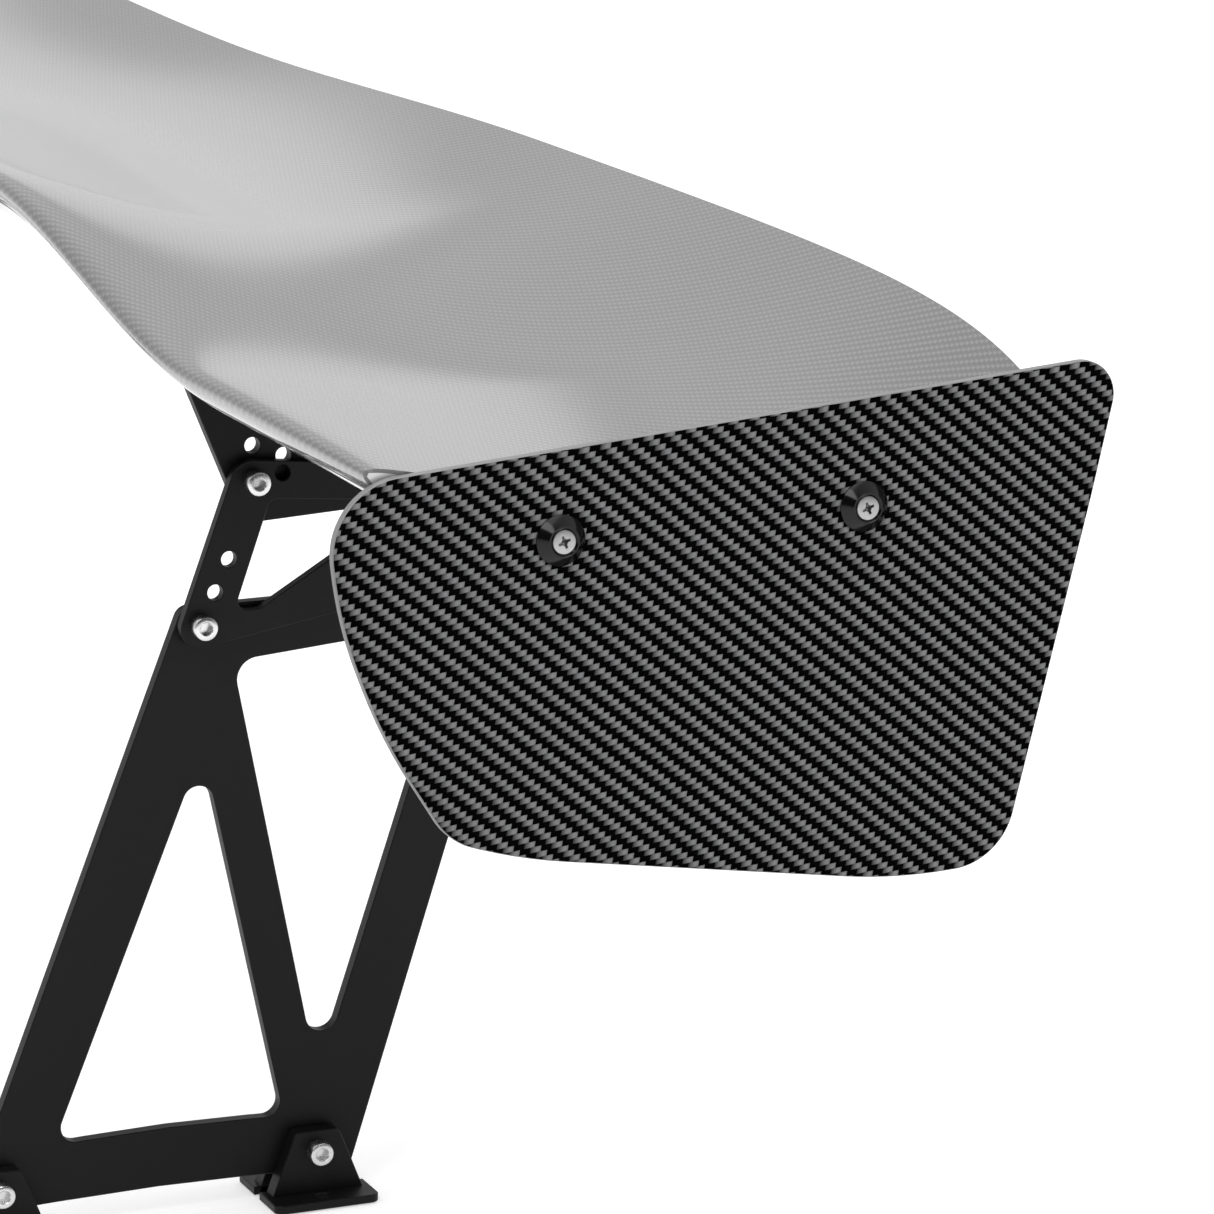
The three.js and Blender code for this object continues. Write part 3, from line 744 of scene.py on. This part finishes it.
# ---------------------------------------------------------------- uprights
UPPER_CORNERS = ((-39, 312.4, 9), (-68, 234.6, 8), (40, 252.8, 12), (55.5, 231.5, 9), (78.5, 231.5, 9),
                 (99, 284, 20), (92, 326.5, 12), (66, 326.5, 14), (56, 303.2, 16))
UPPER_WINDOW = ((-25.2, 295.4, 4), (-41, 251, 4), (-30, 251, 4), (36, 290, 5))
SPARE_HOLE = (-19.9, 305.7)
LOWER_CORNERS = ((-61.4, 252.8, 6), (-142, 50, 20), (-157, 35, 14), (-157, 9.5, 11), (-75, 12.5, 1200),
                 (8.2, 9.5, 5), (88, 253.6, 8))
FRONT_CUTOUT = ((-53.4, 194.2, 6.5), (-119.3, 35, 6.5), (-70, 37.2, 800), (-20.5, 35, 6.5))
REAR_CUTOUT = ((-40, 229, 9), (-5.3, 49.3, 7), (58.6, 236.7, 9))
BRACKET_BOTTOM = ((-34.6, 285, 3), (88.5, 291, 9), (88.5, 315, 12))
BRACKET_HOLES = ((-30.7, 316.6), (-17.6, 311.6))
BRACKET_RISE = 8                # the wing bracket's top edge runs this far up inside the lower skin
BRACKET_FROM = 0.67             # extent of that edge, per unit of chord, and its number of points
BRACKET_LENGTH = 0.495
BRACKET_POINTS = 15
SLOT_EASE = 0.2                 # the lock slot is wider than a bolt hole by twice this
HEIGHT_HOLES = 3
CHAMFER = 0.35
FOOT_HALF = 22.7                # half length of a foot's flange
FLANGE_REACH = 21               # flange, measured outward from the ear's inner face
FLANGE_THICK = 3.5
FLANGE_CORNER = 4
FLANGE_HOLE_IN = 7              # from the flange's outer edge to its hole
EAR_FOOT = 0.6                  # height at which an ear starts, inside the flange
EAR_HALF_TOP = 9.5              # half length of an ear's top edge
EAR_ABOVE = 8.5                 # from the foot bolt up to that edge
EAR_CORNER = 3
EAR_SET = 2                     # an ear is this much shorter than its flange at each end
BOLT_PAST = 8                   # a bolt's shank is longer than its grip by this, for the nut
SOCKET_TURN = 11                # a bolt's hexagon recess stands at this angle, in degrees
NUT_HALF = 2.5                  # half height of a nut
NUT_FLAT = 5.0                  # centre of a nut to a flat
BRACKET_MIDDLE = UPRIGHT_OUTER - LOWER_THICK / 2
UPPER_OUTER = UPRIGHT_OUTER + FIT + UPPER_THICK


def lock_at(degrees, radius):
    """Place of the lock bolt when the wing is turned by that much, or of a point at another radius."""
    angle = math.radians(degrees)
    return Vector((PIVOT[0] + radius * math.cos(angle), PIVOT[1] + radius * math.sin(angle)))


def lock_slot():
    """The curved slot that the lock bolt travels in."""
    half = HOLE / 2 + SLOT_EASE
    sweep = range(-LOCK_DOWN + 1, LOCK_UP)

    def end(degrees, start):
        """Half a circle, in steps of 15 degrees."""
        centre = lock_at(degrees, LOCK_RADIUS)
        angles = [math.radians(degrees + start + 15 * k) for k in range(13)]
        return [centre + Vector((math.cos(angle), math.sin(angle))) * half for angle in angles]

    inner = [lock_at(degrees, LOCK_RADIUS - half) for degrees in reversed(sweep)]
    outer = [lock_at(degrees, LOCK_RADIUS + half) for degrees in sweep]
    return end(LOCK_UP, 0) + inner + end(-LOCK_DOWN, 180) + outer


def height_holes(start):
    """The leaning row of holes that the upright can be bolted at, from the lowest up."""
    step = Vector((math.sin(HEIGHT_LEAN), math.cos(HEIGHT_LEAN))) * HEIGHT_STEP
    return [circle(*(Vector(start) + step * k), HOLE) for k in range(HEIGHT_HOLES)]


def upper_plate_mesh():
    holes = [circle(*PIVOT, HOLE), circle(*SPARE_HOLE, HOLE), lock_slot(), outline(UPPER_WINDOW)]
    for start in CLAMPS.values():
        holes += height_holes(start)
    return sheet([outline(UPPER_CORNERS)] + holes, UPPER_THICK, CHAMFER)


def lower_upright_mesh():
    bolts = list(CLAMPS.values()) + [(y, FOOT_BOLT_Z) for y in FOOT_Y.values()]
    holes = [circle(y, z, HOLE) for y, z in bolts] + [outline(FRONT_CUTOUT), outline(REAR_CUTOUT)]
    return sheet([outline(LOWER_CORNERS)] + holes, LOWER_THICK, CHAMFER)


def bracket_mesh():
    top = []
    for i in range(BRACKET_POINTS):
        fraction = BRACKET_FROM - BRACKET_LENGTH * i / (BRACKET_POINTS - 1)
        point = section_point(BRACKET_MIDDLE, fraction, -1)
        top.append((point.y, point.z + BRACKET_RISE, 0))
    holes = [PIVOT, *BRACKET_HOLES, tuple(lock_at(0, LOCK_RADIUS))]
    return sheet([outline(list(BRACKET_BOTTOM) + top)] + [circle(y, z, HOLE) for y, z in holes],
                 LOWER_THICK, CHAMFER)


def foot_bracket_mesh():
    """One L-shaped half of a foot, drawn with its ear's inner face on X = 0 and its flange along +X."""
    half = FOOT_HALF
    foot, top = half - EAR_SET, FOOT_BOLT_Z + EAR_ABOVE
    ear_loop = outline([(-foot, EAR_FOOT, 0), (foot, EAR_FOOT, 0), (EAR_HALF_TOP, top, EAR_CORNER),
                        (-EAR_HALF_TOP, top, EAR_CORNER)])
    ear = sheet([ear_loop, circle(0, FOOT_BOLT_Z, HOLE)], EAR_THICK, CHAMFER)
    ear.transform(Matrix.Translation((EAR_THICK / 2 * MM, 0, 0)))
    flange_loop = outline([(-half, 0, 0), (-half, FLANGE_REACH, FLANGE_CORNER),
                           (half, FLANGE_REACH, FLANGE_CORNER), (half, 0, 0)])
    flange = sheet([flange_loop, circle(0, FLANGE_REACH - FLANGE_HOLE_IN, HOLE)], FLANGE_THICK, CHAMFER)
    lay_flat = Matrix(((0, 0, 1, 0), (0, 1, 0, 0), (1, 0, 0, FLANGE_THICK / 2 * MM), (0, 0, 0, 1)))
    flange.transform(lay_flat)
    flange.flip_normals()
    bm = bmesh.new()
    bm.from_mesh(ear)
    bm.from_mesh(flange)
    return from_bmesh(bm, "foot_bracket")


def cap_bolt_mesh(grip):
    """Socket head cap screw, with a hexagon recess and a chamfered rim."""
    end = -(grip + BOLT_PAST)
    profile = [(end, 0), (end, 2.4), (end + 0.7, 3.0), (0.1, 3.0), (0.1, 4.8), (0.3, 5.0), (5.2, 5.0),
               (5.75, 4.75), (6.0, 4.3), (6.0, 0)]
    body = from_bmesh(turned(profile), "cap_bolt")
    socket = prism(6, 2.9, 2.8, 6.4, turn=math.radians(SOCKET_TURN))
    return cut(cut(body, socket), prism(24, 2.6, 5.7, 6.2, 3.1))


def nut_mesh():
    """Hexagon nut: its corners are turned off by cones at both ends, which leaves a round face."""
    flat, bore, end = NUT_FLAT, HOLE / 2, NUT_HALF
    corner = flat / math.cos(math.pi / 6)
    profile = [(-end, bore), (-end, flat), (-2.05, corner), (1.2, corner), (1.65, flat), (1.7, 4.5),
               (2.3, 4.3), (end, 4.0), (end, bore)]
    bm = turned(profile, 72)
    for vert in bm.verts:
        angle = math.atan2(vert.co.z, vert.co.y) % (math.pi / 3) - math.pi / 6
        limit = flat * MM / math.cos(angle)
        radius = math.hypot(vert.co.y, vert.co.z)
        if radius > limit:
            vert.co.y *= limit / radius
            vert.co.z *= limit / radius
    return from_bmesh(bm, "nut", 20)


upper_mesh = upper_plate_mesh()
lower_mesh = lower_upright_mesh()
wing_bracket = bracket_mesh()
foot_mesh = foot_bracket_mesh()
upper_grip = UPPER_THICK + FIT + LOWER_THICK
foot_grip = 2 * (EAR_THICK + FIT) + LOWER_THICK
upper_bolt = cap_bolt_mesh(upper_grip)
foot_bolt = cap_bolt_mesh(foot_grip)
nut = nut_mesh()


def fasten(label, name, side, outer, grip, bolt, y, z, body):
    """A bolt from outside and a nut on the inner face, for the CAD pieces of the same name."""
    link(f"{label}_cap_bolt_{name}", moved(bolt, at(side, outer, y, z)), STEEL, "steel", body,
         f"{label}_bolt_{name}")
    inner = outer - grip - FIT - NUT_HALF
    flip = Matrix.Diagonal((-1, 1, 1, 1))
    link(f"{label}_lock_nut_{name}", moved(nut, at(side, inner, y, z) @ flip), STEEL, "steel", body,
         f"{label}_nut_{name}")


for name, side in SIDES:
    for label, node, mesh, x, body in (
            ("truss", "lower_upright", lower_mesh, BRACKET_MIDDLE, "stand"),
            ("angle_plate", "upper_plate", upper_mesh, UPPER_OUTER - UPPER_THICK / 2, "stand"),
            ("wing_mount", "wing_bracket", wing_bracket, BRACKET_MIDDLE, "wing")):
        link(f"{label}_{name}", moved(mesh, at(side, x, 0, 0)), BLACK, "black_alloy", body, f"{node}_{name}")
    lock = lock_at(0, LOCK_RADIUS)
    fasten("pivot", name, side, UPPER_OUTER, upper_grip, upper_bolt, *PIVOT, "stand")
    fasten("lock", name, side, UPPER_OUTER, upper_grip, upper_bolt, *lock, "wing")
    for end in ENDS:
        fasten("clamp", f"{end}_{name}", side, UPPER_OUTER, upper_grip, upper_bolt, *CLAMPS[end], "stand")
        body = f"foot_{end}_{name}"
        y = FOOT_Y[end]
        outer = at(side, UPRIGHT_OUTER + FIT, y, 0)
        inner = at(side, UPRIGHT_OUTER - LOWER_THICK - FIT, y, 0) @ Matrix.Diagonal((-1, 1, 1, 1))
        for half, place in (("outer", outer), ("inner", inner)):
            link(f"foot_ear_{half}_{end}_{name}", moved(foot_mesh, place), BLACK, "black_alloy", body,
                 f"foot_{half}_{end}_{name}")
        fasten("foot", f"{end}_{name}", side, UPRIGHT_OUTER + FIT + EAR_THICK, foot_grip, foot_bolt,
               y, FOOT_BOLT_Z, body)


# ---------------------------------------------------------------- CAD pieces that stay, inside the wing
for node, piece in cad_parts.items():
    inside = SHEET if node.endswith("_spar") else BARE if "_rib_" in node else None
    if inside:
        piece.data.materials.clear()
        piece.data.materials.append(inside)


# ---------------------------------------------------------------- floor
FLOOR_HALF = 30                 # metres
FLOOR_BELOW = 0.0005            # the floor lies this far below the feet, in metres


def make_floor():
    bm = bmesh.new()
    bmesh.ops.create_grid(bm, x_segments=1, y_segments=1, size=FLOOR_HALF)
    mesh = from_bmesh(bm, "floor")
    mesh.materials.append(pale_floor())
    floor = bpy.data.objects.new("floor", mesh)
    bpy.context.scene.collection.objects.link(floor)
    floor.location.z = -FLOOR_BELOW


make_floor()
